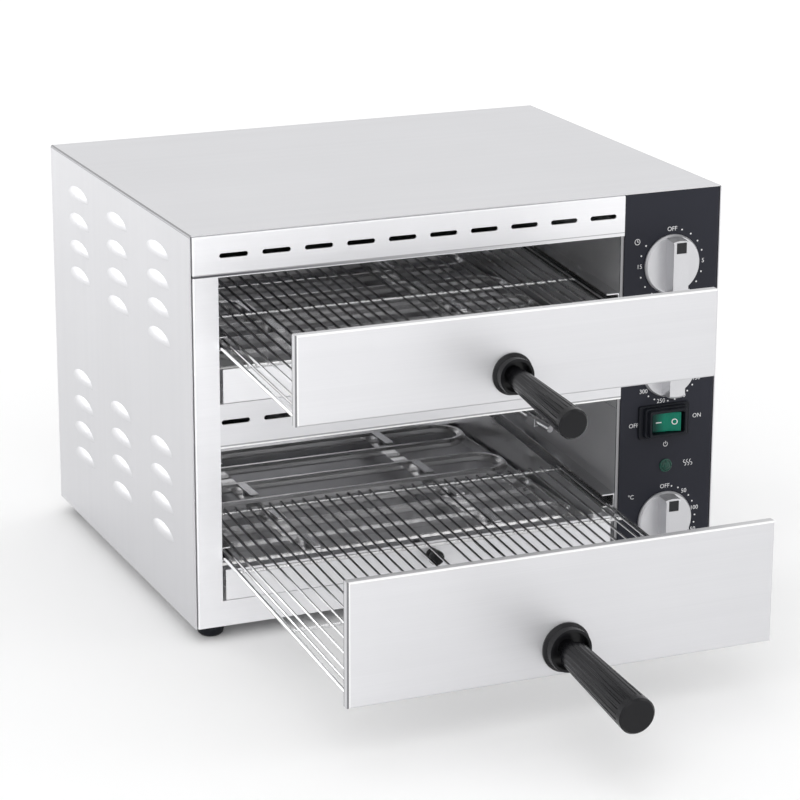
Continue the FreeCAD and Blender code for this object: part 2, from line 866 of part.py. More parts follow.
def element_frame(name, floor):
    """Two cross angles and two strips that hold a deck's elements, with lugs over each pair of runs."""
    body = new_body(name)
    seat = floor + dims.element_level - dims.element_radius
    t = dims.sheet
    strip_low = seat - dims.strip_thickness
    back = cavity_back - dims.frame_rear_gap
    strips = (dims.strip_left, cavity_right - dims.strip_inset)
    for wall, inward in ((dims.frame_front, 1), (back, -1)):
        corners = [
            (wall, strip_low - t), (wall + inward * dims.frame_leg, strip_low - t),
            (wall + inward * dims.frame_leg, strip_low), (wall + inward * t, strip_low),
            (wall + inward * t, strip_low + dims.frame_leg), (wall, strip_low + dims.frame_leg)]
        extruded(body, "YZ", corners, dims.cavity_left, cavity_right - dims.cavity_left)
    for middle in strips:
        left = middle - dims.strip_width / 2
        right = left + dims.strip_width
        slab(body, "XY", left, right, dims.frame_front + t, back - t, strip_low, dims.strip_thickness)
    high = seat + 2 * dims.element_radius
    half = dims.lug_stem / 2
    reach = dims.lug_length / 2
    for middle in strips:
        sketch = new_sketch(body, "YZ", middle - dims.lug_stem)
        for first, pitch in element_rows():
            for gap in (0.5, 2.5):
                centre = first + pitch * gap
                loop(sketch, [
                    (centre - half, seat), (centre + half, seat), (centre + half, high),
                    (centre + reach, high), (centre + reach, high + dims.lug_thickness),
                    (centre - reach, high + dims.lug_thickness), (centre - reach, high), (centre - half, high)])
        pad(sketch, 2 * dims.lug_stem)


def sensor_clip(name, rise):
    """Bright bracket on the right wall that holds a thermostat's bulb."""
    body = new_body(name)
    wall = cavity_right
    t = dims.clip_sheet
    half = dims.clip_width / 2
    loop_radius = dims.sensor_radius + dims.seat_gap
    front = dims.sensor_y - half
    slab(body, "YZ", front, dims.sensor_y + half, rise, rise + dims.clip_height, wall, t, -1)
    saddle = wall - t - 2 * loop_radius
    corners = [
        (wall - t, rise), (wall - t, rise + t), (saddle, rise + t), (saddle, rise + 2 * loop_radius + t),
        (saddle - t, rise + 2 * loop_radius + t), (saddle - t, rise)]
    extruded(body, "XZ", corners, front, dims.clip_width)
    eye = new_sketch(body, "YZ", wall)
    circle(eye, (dims.sensor_y, rise + dims.clip_height - dims.clip_eye_drop), dims.clip_eye_radius)
    cut(eye, t, -1)


def sensor_bulb(name, rise):
    body = new_body(name)
    t = dims.clip_sheet
    x = cavity_right - t - dims.sensor_radius - dims.seat_gap
    z = rise + t + dims.sensor_radius + dims.shaft_fit
    sketch = new_sketch(body, "XZ", dims.sensor_y - dims.sensor_length / 2)
    circle(sketch, (x, z), dims.sensor_radius)
    pad(sketch, dims.sensor_length)


def shaft(name, position, back):
    """A control's steel shaft: from inside its works, through the panel, into the knob."""
    body = new_body(name, position)
    sketch = new_sketch(body, "XZ", 0 - dims.shaft_reach)
    circle(sketch, (0, 0), dims.shaft_radius)
    pad(sketch, dims.shaft_reach + back)


def knob(name, position):
    """Moulded knob: a skirt, a grip bar across it and a recess for the pointer mark."""
    body = new_body(name, position)
    radius = dims.knob_radius
    gap = dims.knob_gap
    skirt = gap + dims.knob_skirt
    top = gap + dims.knob_height
    bore = dims.shaft_radius
    waist = radius - dims.knob_draft
    crown = waist - dims.knob_draft
    profile = new_sketch(body, "XY")
    loop(profile, [
        (bore, 0 - gap), (radius, 0 - gap), (radius, 0 - gap - dims.knob_rim), (waist, 0 - skirt),
        (crown, dims.knob_edge - top), (crown - dims.knob_edge, 0 - top), (0, 0 - top),
        (0, 0 - dims.shaft_reach), (bore, 0 - dims.shaft_reach)])
    turned(profile)
    sides = new_sketch(body, "XZ", 0 - top)
    half = dims.knob_bar / 2
    for near_edge, far_edge in ((half, radius), (0 - radius, 0 - half)):
        rectangle(sides, near_edge, far_edge, 0 - radius, radius)
    cut(sides, dims.knob_height - dims.knob_skirt)
    mark = new_sketch(body, "XZ", 0 - top)
    size = dims.pointer_size / 2
    rectangle(mark, 0 - size, size, dims.pointer_offset - size, dims.pointer_offset + size)
    cut(mark, dims.pointer_depth)


def works(name, level, block, depth, can_radius, can_depth):
    """A control's body behind the panel: a square block, and a round can behind it."""
    body = new_body(name, from_housing(control_x, dims.frame_sheet, level))
    half = block / 2
    slab(body, "XZ", 0 - half, half, 0 - half, half, 0, depth)
    can = new_sketch(body, "XZ", depth)
    circle(can, (0, 0), can_radius)
    pad(can, can_depth)
    bore = new_sketch(body, "XZ", 0)
    circle(bore, (0, 0), dims.shaft_radius + dims.shaft_fit)
    cut(bore, depth)
    tags = new_sketch(body, "XZ", depth + can_depth)
    across = dims.tag_width / 2
    half = dims.tag_thickness / 2
    for side in (-1, 1):
        middle = side * can_radius / 2
        rectangle(tags, middle - across, middle + across, 0 - half, half)
    pad(tags, dims.tag_length)


def rotary_control(name, level, block, depth, can_radius, can_depth):
    works(name + "_body", level, block, depth, can_radius, can_depth)
    front = from_housing(control_x, 0, level)
    shaft(name + "_shaft", front, dims.frame_sheet + depth - dims.seat_gap)
    knob(name + "_knob", front)


def switch_parts():
    """Rocker switch in a stepped splash boot."""
    front = from_housing(dims.body_width - dims.switch_inset, 0, dims.switch_level)
    boot = new_body("switch_boot", front)
    half_width = dims.boot_width / 2
    half_height = dims.boot_height / 2
    slab(boot, "XZ", 0 - half_width, half_width, 0 - half_height, half_height, 0, dims.boot_base, -1)
    across = dims.window_width / 2
    rise = dims.window_height / 2
    step = dims.boot_rise - dims.boot_base
    slab(boot, "XZ", 0 - across, across, 0 - rise, rise, 0 - dims.boot_base, step, -1)
    window = new_sketch(boot, "XZ", 0 - dims.boot_rise)
    wall = dims.window_wall
    rectangle(window, wall - across, across - wall, wall - rise, rise - wall)
    cut(window, dims.boot_rise)
    housing = new_body("switch_body", front)
    inner = dims.switch_body_width / 2 - dims.seat_gap
    tall = dims.switch_body_height / 2 - dims.seat_gap
    depth = dims.switch_body_depth
    level = dims.rocker_back + dims.rocker_room
    slab(housing, "XZ", 0 - inner, inner, 0 - tall, tall, level, depth)
    cheek_side = tall - dims.cheek_thickness
    for side in (-1, 1):
        cheek = new_sketch(housing, "XY", side * cheek_side)
        rectangle(cheek, 0 - dims.cheek_width / 2, dims.cheek_width / 2, 0, level)
        pad(cheek, dims.cheek_thickness, side)
        pivot = new_sketch(housing, "XY", side * cheek_side)
        circle(pivot, (0, dims.pivot_radius), dims.pivot_radius - dims.shaft_fit)
        pad(pivot, dims.pivot_length, 0 - side)
    tags = new_sketch(housing, "XZ", level + depth)
    half = dims.tag_thickness / 2
    for place_of_tag in (-1, 0, 1):
        middle = place_of_tag * dims.switch_tag_pitch
        rectangle(tags, middle - half, middle + half, 0 - dims.tag_width / 2, dims.tag_width / 2)
    pad(tags, dims.tag_length)
    rocker = new_body("rocker", front)
    wide = dims.rocker_width / 2
    thick = dims.rocker_height / 2
    valley = dims.rocker_valley / 2
    base = dims.rocker_base / 2
    edge = dims.rocker_edge
    sketch = new_sketch(rocker, "XY", 0 - thick)
    loop(sketch, [
        (0 - wide, 0 - dims.rocker_low), (0 - valley, 0 - dims.rocker_waist),
        (valley, 0 - dims.rocker_waist), (wide, 0 - dims.rocker_high), (wide - edge, 0 - 1.5 * edge),
        (base, dims.rocker_back), (0 - base, dims.rocker_back), (edge - wide, edge)])
    pad(sketch, dims.rocker_height)
    bore = new_sketch(rocker, "XY", 0 - thick)
    circle(bore, (0, dims.pivot_radius), dims.pivot_radius)
    cut(bore, dims.rocker_height)


def lamp():
    front = from_housing(control_x, 0, dims.lamp_level)
    lens = new_body("lamp_lens", front)
    profile = new_sketch(lens, "XY")
    radius = dims.lamp_radius
    rise = dims.lamp_rise
    rim = dims.lamp_rim
    loop(profile, [
        (0, 0), (radius, 0), (radius, 0 - rim * 2 / 3), (radius - rim * 2 / 3, 0 - rim),
        (radius - rim, 0 - rim), (radius - 2 * rim, rim / 2 - rise), (radius / 3, 0 - rise), (0, 0 - rise)])
    turned(profile)
    socket = new_body("lamp_body", front)
    profile = new_sketch(socket, "XY")
    barrel = dims.lamp_body_radius
    depth = dims.lamp_body_depth
    flange = barrel + dims.lamp_flange
    back = dims.frame_sheet
    nut = back + dims.lamp_nut
    loop(profile, [
        (0, 0), (barrel, 0), (barrel, back), (flange, back), (flange, nut), (barrel, nut),
        (barrel, depth), (0, depth)])
    turned(profile)


def cable_gland():
    """Strain relief in the back panel for the supply cord."""
    body = new_body("cable_gland", from_housing(control_x, dims.body_depth, dims.gland_level))
    bore = dims.gland_bore
    radius = dims.gland_radius
    barrel = radius - dims.gland_shoulder
    neck = dims.gland_neck
    edge = dims.gland_edge
    reach = dims.gland_reach
    collar = dims.gland_collar
    t = dims.sheet
    nut = 0 - t - dims.gland_nut
    tail = nut - dims.gland_tail
    profile = new_sketch(body, "XY")
    loop(profile, [
        (bore, reach), (neck - edge, reach), (neck, reach - 2 * edge), (neck, collar + edge),
        (radius, collar), (radius, 0), (barrel, 0), (barrel, 0 - t), (radius, 0 - t), (radius, nut),
        (dims.gland_tail_radius, nut), (dims.gland_tail_radius, tail), (bore, tail)])
    turned(profile)


def feet():
    """Four rubber feet, round above and drawn in below, dished for their screws."""
    body = new_body("feet")
    x = dims.foot_inset
    low = 0 - dims.foot_height
    shoulder = 0 - dims.foot_straight
    tread = x + dims.foot_tread_radius
    bend = dims.foot_round
    hole = x + dims.foot_screw_radius
    recess = x + dims.foot_recess_radius
    mouth = low + dims.foot_recess_mouth
    pocket = x + dims.foot_screw_head + dims.seat_gap
    deep = low + dims.foot_recess_depth
    outline = new_sketch(body, "XZ", dims.foot_inset)
    loop(outline, [
        (hole, 0), (x + dims.foot_radius, 0), (x + dims.foot_radius, shoulder), (tread, low + bend),
        (tread - bend, low), (recess, low), (recess, mouth), (pocket, mouth), (pocket, deep), (hole, deep)])
    axis = new_sketch(body, "XZ", dims.foot_inset)
    line(axis, (x, low), (x, 0))
    ring = turned(outline)
    ring.ReferenceAxis = (axis, ["Edge1"])
    repeated(body, [ring], [
        ("X", dims.body_width - 2 * dims.foot_inset, 2), ("Y", dims.body_depth - 2 * dims.foot_inset, 2)])


def foot_screws():
    """A screw up through each foot and the housing's lip into the threaded base plate."""
    body = new_body("foot_screws")
    deep = dims.foot_recess_depth - dims.foot_height
    heads = new_sketch(body, "XY", deep)
    shanks = new_sketch(body, "XY", deep)
    for centre in foot_places():
        circle(heads, centre, dims.foot_screw_head)
        circle(shanks, centre, dims.foot_screw_radius)
    pad(heads, dims.foot_screw_head_height, -1)
    pad(shanks, 2 * dims.sheet - deep)


def back_screws():
    """Pan-head screws that hold the back panel to the housing's lips."""
    body = new_body("back_screws")
    face = dims.body_depth
    heads = new_sketch(body, "XZ", face)
    shanks = new_sketch(body, "XZ", face)
    for place_of_screw in back_screw_places():
        circle(heads, place_of_screw, dims.back_screw_head)
        circle(shanks, place_of_screw, dims.back_screw_radius)
    pad(heads, dims.back_screw_head_height)
    pad(shanks, dims.back_screw_length, -1)


def from_drawer(pull, rod_level, x=0, y=0, z=0):
    """A place on a drawer, from the point between its rods where they leave the front face when shut."""
    out_x, out_y, out_z = from_housing(cavity_middle, 0, rod_level)
    return out_x + x, out_y - pull * cosine(dims.rack_fall) + y, out_z - pull * sine(dims.rack_fall) + z


def door_plane(level):
    """Where the door's inner face cuts a level of the leaning rack."""
    inner = dims.door_depth + dims.seat_gap - dims.door_sheet
    return (level * sine(dims.rack_fall) - inner) / cosine(dims.rack_fall)


def rack(name, pull, rod_level):
    """Welded wire rack: two side rods, three cross bars, the front angle and the thin wires on top."""
    body = document.addObject("PartDesign::Body", name + "_frame")
    spread = rod_spread
    radius = dims.rod_radius
    seat = dims.wire_level - dims.wire_radius
    bar_level = seat - dims.bar_radius
    length = dims.rack_length
    start = door_plane(as_size(0)) + dims.strip_sheet / 2
    rods = new_sketch(body, "XZ", start)
    circle(rods, (0 - spread, 0), radius)
    circle(rods, (spread, 0), radius)
    pad(rods, length + radius - start)
    bars = new_sketch(body, "YZ", 0 - spread)
    for share in (1, 2 / 3, 1 / 3):
        circle(bars, (length * share, bar_level), dims.bar_radius)
    pad(bars, 2 * spread)
    t = dims.strip_sheet
    low = 0 - dims.bar_radius
    top_edge = door_plane(seat)
    low_edge = door_plane(low)
    corners = [
        (low_edge, low), (low_edge + t, low), (door_plane(seat - t) + t, seat - t),
        (top_edge + dims.strip_depth, seat - t), (top_edge + dims.strip_depth, seat), (top_edge, seat)]
    extruded(body, "YZ", corners, 0 - spread, 2 * spread)
    wires = document.addObject("PartDesign::Body", name + "_wires")
    first = top_edge + t / 2
    reach = length + dims.wire_overhang - first
    half_gap = dims.centre_gap / 2
    count = SIZES["wires_per_side"]
    row_width = spread - dims.edge_wire_offset - dims.edge_wire_gap - half_gap
    for side in (-1, 1):
        seed = new_sketch(wires, "XZ", first)
        eight_sided(seed, (side * half_gap, dims.wire_level), dims.wire_radius)
        row = pad(seed, reach)
        pattern = wires.newObject("PartDesign::LinearPattern", "row_of_wires")
        pattern.Originals = [row]
        pattern.Direction = (next(f for f in wires.Origin.OriginFeatures if f.Role == "X_Axis"), [""])
        pattern.Reversed = side < 0
        pattern.Occurrences = count
        bind(pattern, "Length", row_width)
        wires.Tip = pattern
    edges = new_sketch(wires, "XZ", first)
    for side in (-1, 1):
        eight_sided(edges, (side * (spread - dims.edge_wire_offset), dims.wire_level), dims.wire_radius)
    wires.Tip = pad(edges, reach)
    whole = document.addObject("Part::Compound", name)
    whole.Label = name
    whole.Links = [body, wires]
    place(whole, from_drawer(pull, rod_level), dims.rack_fall)
    nodes.append(whole)


def door(name, pull, rod_level, height, drop):
    """Drawer front, folded as a shallow tray that is open behind."""
    body = new_body(name, from_drawer(pull, rod_level))
    half = door_width / 2
    low = 0 - drop
    top = height - drop
    t = dims.door_sheet
    gap = dims.seat_gap
    depth = dims.door_depth
    slab(body, "XZ", 0 - half, half, low, top, 0 - gap, depth, -1)
    face = 0 - gap - depth
    rounded_edges(body, dims.door_bend, lambda c, d: near(c.y, face))
    hollow = new_sketch(body, "XZ", 0 - gap)
    rectangle(hollow, t - half, half - t, low + t, top - t)
    cut(hollow, depth - t, -1)
    hole = new_sketch(body, "XZ", 0 - gap)
    circle(hole, (0, low + dims.handle_rise), dims.handle_screw_radius + dims.seat_gap)
    cut(hole, depth, -1)


def handle(name, pull, rod_level, drop, length, grip, cup):
    """Fluted grip that leans down out of a cup, held by a screw from inside the door."""
    face = dims.seat_gap + dims.door_depth
    front = from_drawer(pull, rod_level, 0, 0 - face, dims.handle_rise - drop)
    hole = dims.handle_screw_radius + dims.seat_gap
    cup_body = new_body(name + "_cup", front)
    flange = dims.cup_flange
    step = dims.cup_step
    rim = cup - dims.cup_shoulder
    mouth = rim - dims.cup_wall
    deep = dims.cup_depth
    profile = new_sketch(cup_body, "XY")
    loop(profile, [
        (hole, 0), (cup, 0), (cup, 0 - flange), (cup - step, 0 - flange - step), (rim, 0 - flange - 2 * step),
        (rim - step / 2, 0 - deep), (mouth, 0 - deep), (mouth, 0 - dims.cup_floor), (hole, 0 - dims.cup_floor)])
    turned(profile)
    body = new_body(name, front, dims.handle_fall)
    floor = dims.cup_floor
    neck_end = dims.cup_depth + dims.neck_clear
    lean = dims.handle_fall
    cap = length - dims.grip_cap
    inner = grip - dims.grip_taper
    core = inner - dims.grip_core_inset
    edge = dims.grip_edge
    neck = dims.neck_radius
    profile = new_sketch(body, "XY")
    loop(profile, [
        (0, 4), (neck, 4), (neck, 0 - neck_end), (core, 0 - neck_end - 1),
        (core, 0 - neck_end - 3), (grip - edge, 0 - cap), (grip, 0 - cap), (grip, edge - length),
        (grip - edge, 0 - length), (0, 0 - length)])
    turned(profile)
    flutes = new_sketch(body, "XZ", 0 - cap)
    count = SIZES["flute_count"]
    points = []
    for index in range(count):
        for share, inset in ((0, 0), (0.45, 0), (0.6, dims.flute_depth), (0.85, dims.flute_depth)):
            turn = 2 * math.pi * (index + share) / count
            reach = grip - 0.1 - inset
            points.append((reach * math.cos(turn), reach * math.sin(turn)))
    loop(flutes, points)
    ridges = pad(flutes, cap - neck_end - 2)
    ridges.TaperAngle = 0 - math.degrees(math.atan2(dims.grip_taper.value, (cap - neck_end - 2).value))
    seat = new_sketch(body, "XZ", 0 - floor / cosine(lean), 0 - lean)
    circle(seat, (0, 0), grip)
    cut(seat, 12)
    bore = new_sketch(body, "XZ", 0, 0 - lean)
    circle(bore, (0, 0), dims.handle_screw_radius)
    cut(bore, floor + dims.handle_screw_depth, -1)
    screw = new_body(name + "_screw", front)
    head = new_sketch(screw, "XZ", dims.door_sheet)
    circle(head, (0, 0), dims.handle_screw_head)
    pad(head, 2.6)
    shank = new_sketch(screw, "XZ", dims.door_sheet)
    circle(shank, (0, 0), dims.handle_screw_radius)
    pad(shank, dims.door_sheet + floor + dims.handle_screw_depth - 1, -1)


def crumb_tray(name, floor, front_height):
    """Folded pan under a deck's elements, with a taller front and its pull knob."""
    low = floor + dims.seat_gap
    body = new_body(name, from_housing(0, 0, low))
    t = dims.sheet
    left = dims.cavity_left + dims.tray_gap_left
    right = cavity_right - dims.tray_gap_right
    knob_x = cavity_middle + dims.tray_knob_offset
    front = dims.tray_front
    back = front + dims.tray_length
    slab(body, "XY", left, right, front, back, 0, dims.tray_depth)
    pan = new_sketch(body, "XY", dims.tray_depth)
    rectangle(pan, left + t, right - t, front + t, back - t)
    cut(pan, dims.tray_depth - t, -1)
    slab(body, "XZ", left, right, 0, front_height, front, t)
    hole = new_sketch(body, "XZ", front)
    circle(hole, (knob_x, dims.tray_knob_rise), dims.tray_knob_stud_radius)
    cut(hole, t)
    pull = new_body(name + "_knob", from_housing(knob_x, front, low + dims.tray_knob_rise))
    reach = dims.tray_knob_length
    wide = dims.tray_knob_radius
    stud = dims.tray_knob_stud_radius
    nut = dims.tray_knob_nut_radius
    nut_end = t + dims.tray_knob_nut
    stem = dims.tray_knob_stem
    edge = dims.tray_knob_edge
    profile = new_sketch(pull, "XY")
    loop(profile, [
        (0, nut_end), (nut, nut_end), (nut, t), (stud, t), (stud, 0), (stem + edge, 0),
        (stem, 0 - edge), (stem, 0 - 3 * edge), (wide, 0 - 5 * edge), (wide, edge - reach),
        (wide - edge, edge / 3 - reach), (wide - 2 * edge, 0 - reach), (0, 0 - reach)])
    turned(profile)


for part in (
        outer_housing, back_panel, base_plate, front_frame, control_panel, rear_liner, top_liner,
        middle_deck, bottom_deck, switch_parts, lamp, cable_gland, feet, foot_screws, back_screws):
    part()
divider = cross_rail("divider_rail", divider_bottom, divider_top)
divider_slots = new_sketch(divider, "XZ", 0)
row_of_slots(divider_slots, divider_top - dims.divider_slot_drop)
cut(divider_slots, dims.frame_sheet)
cross_rail("bottom_rail", as_size(0), dims.bottom_rail_top)
side_liner("left_liner", dims.cavity_left, -1, True)
side_liner("right_liner", cavity_right, 1, False)
for deck, floor, rod_level, sensor_rise in (
        ("upper", divider_top, upper_rod_level, dims.upper_sensor_rise),
        ("lower", dims.bottom_rail_top, lower_rod_level, dims.lower_sensor_rise)):
    channel(deck + "_left_channel", dims.cavity_left, 1, rod_level)
    channel(deck + "_right_channel", cavity_right, -1, rod_level)
    for position, (first, pitch) in zip(("front", "rear"), element_rows()):
        element(f"{deck}_{position}_element", floor, first, pitch)
    element_frame(deck + "_element_frame", floor)
    sensor_clip(deck + "_sensor_clip", floor + sensor_rise)
    sensor_bulb(deck + "_sensor_bulb", floor + sensor_rise)
rotary_control(
    "timer", timer_level, dims.timer_size, dims.timer_thickness,
    dims.timer_size / 2 - dims.timer_can_margin, dims.timer_can_depth)
for deck, level in (("upper", dims.upper_thermostat_level), ("lower", dims.lower_thermostat_level)):
    rotary_control(
        deck + "_thermostat", level, dims.thermostat_size, dims.thermostat_thickness,
        dims.thermostat_can_radius, dims.thermostat_can_depth)

for deck, floor, front_height in (
        ("upper", divider_top, dims.upper_tray_front_height),
        ("lower", dims.bottom_rail_top, dims.lower_tray_front_height)):
    crumb_tray(deck + "_crumb_tray", floor, front_height)
for deck, pull, rod_level, height, drop, length, grip, cup in (
        ("upper", dims.upper_pull, upper_rod_level, dims.upper_door_height, dims.upper_door_drop,
         dims.upper_handle_length, dims.upper_grip_radius, dims.upper_cup_radius),
        ("lower", dims.lower_pull, lower_rod_level, dims.lower_door_height, dims.lower_door_drop,
         dims.lower_handle_length, dims.lower_grip_radius, dims.lower_cup_radius)):
    rack(deck + "_rack", pull, rod_level)
    door(deck + "_door", pull, rod_level, height, drop)
    handle(deck + "_handle", pull, rod_level, drop, length, grip, cup)

document.recompute()
for thing in document.Objects:
    if "Invalid" in thing.State or "Error" in thing.State:
        raise SystemExit(f"{thing.Label}: {thing.State}")
    if thing.TypeId in ("PartDesign::Pocket", "PartDesign::Groove"):
        if thing.BaseFeature.Shape.Volume - thing.Shape.Volume < 1e-3:
            raise SystemExit(f"{thing.getParent().Label}: {thing.Label} cuts nothing")
for node in nodes:
    if node.Shape.isNull() or not node.Shape.isValid():
        raise SystemExit(f"{node.Label} has no valid shape")
for node in nodes:
    node.Shape.exportStep(f"parts/{node.Label}.step")
print(len(nodes), "pieces,", sum(len(node.Shape.Solids) for node in nodes), "solids")
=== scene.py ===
"""The two-deck pizza oven, dressed for its picture.

The housing, racks, doors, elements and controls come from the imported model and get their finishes
here. The panel's printing, the knobs' pointers and the switch's boot are made here on top of them.
"""
from math import cos, radians, sin

import bmesh
import bpy
from mathutils import Matrix, Vector


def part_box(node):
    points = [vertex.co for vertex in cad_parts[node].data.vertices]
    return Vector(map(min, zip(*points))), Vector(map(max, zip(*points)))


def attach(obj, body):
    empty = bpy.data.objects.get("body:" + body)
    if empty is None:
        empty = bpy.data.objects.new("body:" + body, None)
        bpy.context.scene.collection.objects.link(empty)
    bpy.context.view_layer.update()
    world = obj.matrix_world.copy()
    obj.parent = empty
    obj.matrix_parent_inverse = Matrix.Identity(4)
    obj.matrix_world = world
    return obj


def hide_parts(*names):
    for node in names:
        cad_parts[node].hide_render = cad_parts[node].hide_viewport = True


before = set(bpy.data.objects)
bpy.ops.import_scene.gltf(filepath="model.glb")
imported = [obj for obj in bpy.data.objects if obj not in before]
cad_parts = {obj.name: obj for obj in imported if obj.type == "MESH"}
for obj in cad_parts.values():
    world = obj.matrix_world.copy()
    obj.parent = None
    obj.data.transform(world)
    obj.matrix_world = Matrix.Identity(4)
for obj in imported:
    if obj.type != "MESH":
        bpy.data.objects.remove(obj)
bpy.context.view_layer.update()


# --- Outer housing --------------------------------------------------------------------------------
# One sheet of brushed stainless steel, folded over the top and both sides, with pressed louvres.
# The back panel, of the same sheet, is screwed to its lips.
class Value:
    """A socket of a mixture. Arithmetic on values adds the Math nodes."""

    def __init__(self, mixture, socket):
        self.mixture = mixture
        self.socket = socket

    def maths(self, operation, first, second):
        return self.mixture.node("Math", {"operation": operation}, {0: first, 1: second})

    def __add__(self, other):
        return self.maths("ADD", self, other)

    def __sub__(self, other):
        return self.maths("SUBTRACT", self, other)

    def __rsub__(self, other):
        return self.maths("SUBTRACT", other, self)

    def __mul__(self, other):
        return self.maths("MULTIPLY", self, other)

    def __gt__(self, other):
        return self.maths("GREATER_THAN", self, other)

    def __lt__(self, other):
        return self.maths("LESS_THAN", self, other)

    def larger(self, other):
        return self.maths("MAXIMUM", self, other)

    __radd__ = __add__
    __rmul__ = __mul__


class Mixture:
    """A tree of shader nodes, and the one way in which nodes are added to it."""

    def __init__(self, tree):
        self.tree = tree

    def feed(self, sockets, values):
        for name, value in values.items():
            if isinstance(value, Value):
                self.tree.links.new(value.socket, sockets[name])
            else:
                sockets[name].default_value = value

    def node(self, kind, settings=None, values=None, out=0):
        made = self.tree.nodes.new("ShaderNode" + kind)
        for name, setting in (settings or {}).items():
            setattr(made, name, setting)
        self.feed(made.inputs, values or {})
        return Value(self, made.outputs[out])


class Finish(Mixture):
    """A material: its shader's own values, and the nodes that feed it."""

    def __init__(self, name, **plain):
        self.material = bpy.data.materials.new(name)
        self.material.use_nodes = True
        super().__init__(self.material.node_tree)
        self.shader = self.tree.nodes["Principled BSDF"]
        self.place = self.node("TexCoord", out="Object")
        self.set(**plain)

    def set(self, **values):
        self.feed(
            self.shader.inputs, {name.replace("_", " "): value for name, value in values.items()})

    def colour(self):
        """The colour that the finish has so far."""
        return Value(self, self.shader.inputs["Base Color"].links[0].from_socket)

    def stretched(self, x, y, z):
        return self.node("VectorMath", {"operation": "MULTIPLY"}, {0: self.place, 1: (x, y, z)})

    def noise(self, where, scale, detail=2.0, roughness=0.5):
        sockets = {"Vector": where, "Scale": scale, "Detail": detail, "Roughness": roughness}
        return self.node("TexNoise", {}, sockets)

    def along(self, axis):
        return self.node("SeparateXYZ", {}, {0: self.place}, out="XYZ".index(axis))

    def mix(self, share, first, second):
        return self.node("Mix", {"data_type": "RGBA"}, {0: share, 6: first, 7: second}, out=2)

    def ramp(self, value, start, end, top=1.0):
        """Rises from nothing at the start to its top at the end."""
        sockets = {"Value": value, "From Min": start, "From Max": end, "To Max": top}
        return self.node("MapRange", {}, sockets)

    def bump(self, height, depth, strength):
        sockets = {"Height": height, "Distance": depth, "Strength": strength}
        self.set(Normal=self.node("Bump", {}, sockets))


def grey(level, blue=0.0):
    return (level, level, level + blue, 1)


MM = 0.001
STEEL_BLUE = 0.018
SHADE_BLUE = 0.01


def brushed(name, grain_size, level, roughness, metallic):
    """Brushed steel. The grain runs fine across the sheet and long along it."""
    finish = Finish(name, Metallic=metallic)
    grain = finish.noise(finish.stretched(*grain_size), 1.0, 3.0, 0.6)
    bands = finish.noise(finish.stretched(*(0.06 * size for size in grain_size)), 1.0, 2.0)
    handling = finish.noise(finish.place, 9.0, 3.0, 0.55)
    tone = 0.4 * grain + 0.25 * bands + 0.35 * handling
    finish.set(
        Base_Color=finish.mix(tone, grey(level - 0.08, STEEL_BLUE), grey(level + 0.06, STEEL_BLUE)),
        Roughness=roughness - 0.09 + 0.14 * grain + 0.1 * handling,
    )
    finish.bump(grain, 0.04 * MM, 0.25)
    return finish


def tint(finish, *shares):
    """Lays tones over a finish, each where its share is one."""
    tone = finish.colour()
    for share, colour in shares:
        tone = finish.mix(share, tone, colour)
    finish.set(Base_Color=tone)


def dress(finish, *names):
    for name in names:
        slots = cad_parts[name].data.materials
        slots.clear()
        slots.append(finish.material)


GRAIN_OVER = (7, 1500, 7)
GRAIN_ACROSS = (7, 7, 1500)
FOLD = 2 * MM
side_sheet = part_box("back_panel")[1].x + 2.3 * MM
top_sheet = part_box("outer_housing")[1].z
wrapper_steel = brushed("wrapper_steel", GRAIN_OVER, level=0.66, roughness=0.38, metallic=0.9)
sideways = wrapper_steel.along("X")
# Painted shade: a dark line along the folds where the top turns down into the sides.
painted_fold_shade_left = wrapper_steel.along("Z") - sideways > side_sheet + top_sheet - FOLD
painted_fold_shade_right = wrapper_steel.along("Z") + sideways > side_sheet + top_sheet - FOLD
tint(wrapper_steel, (painted_fold_shade_left.larger(painted_fold_shade_right), grey(0.3, SHADE_BLUE)))
dress(wrapper_steel, "outer_housing")
back_steel = brushed("back_steel", GRAIN_ACROSS, level=0.7, roughness=0.4, metallic=0.85)
dress(back_steel, "back_panel")


# --- Front frame and rails ------------------------------------------------------------------------
# The same brushed sheet, with its grain across the oven. The slots are punched, and the rails are
# spot-welded behind the stile. The header's lower bend carries a painted reflection, dark at its
# left end and bright towards the right, under a painted grey shade line.
front_steel = brushed("front_steel", GRAIN_ACROSS, level=0.86, roughness=0.42, metallic=0.65)
HEADER_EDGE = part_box("top_liner")[0].z - 7 * MM
LIP = 0.8 * MM
BEND = 2.6 * MM
SHADE_LINE_TOP = 3.4 * MM
REFLECTION_DARKEST = -216 * MM
REFLECTION_BRIGHTEST = 100 * MM


def band(finish, low, high):
    """A level stripe of a finish, between two heights."""
    upward = finish.along("Z")
    return (upward > low) * (upward < high)


# Painted reflection on the header's lower bend, dark at the left and bright to the right, with a
# painted grey shade line above it.
rightward = front_steel.ramp(front_steel.along("X"), REFLECTION_DARKEST, REFLECTION_BRIGHTEST)
painted_bend_reflection = front_steel.mix(rightward, grey(0.1, SHADE_BLUE), grey(0.84, STEEL_BLUE))
tint(
    front_steel,
    (band(front_steel, HEADER_EDGE + LIP, HEADER_EDGE + BEND), painted_bend_reflection),
    (band(front_steel, HEADER_EDGE + BEND, HEADER_EDGE + SHADE_LINE_TOP), grey(0.5, SHADE_BLUE)),
)
dress(front_steel, "front_frame", "bottom_rail")

divider_steel = brushed(
    "divider_steel", GRAIN_ACROSS, level=0.76, roughness=0.42, metallic=0.65)
RAIL_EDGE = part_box("divider_rail")[0].z
RAIL_HIGHLIGHT_TOP = 1.6 * LIP
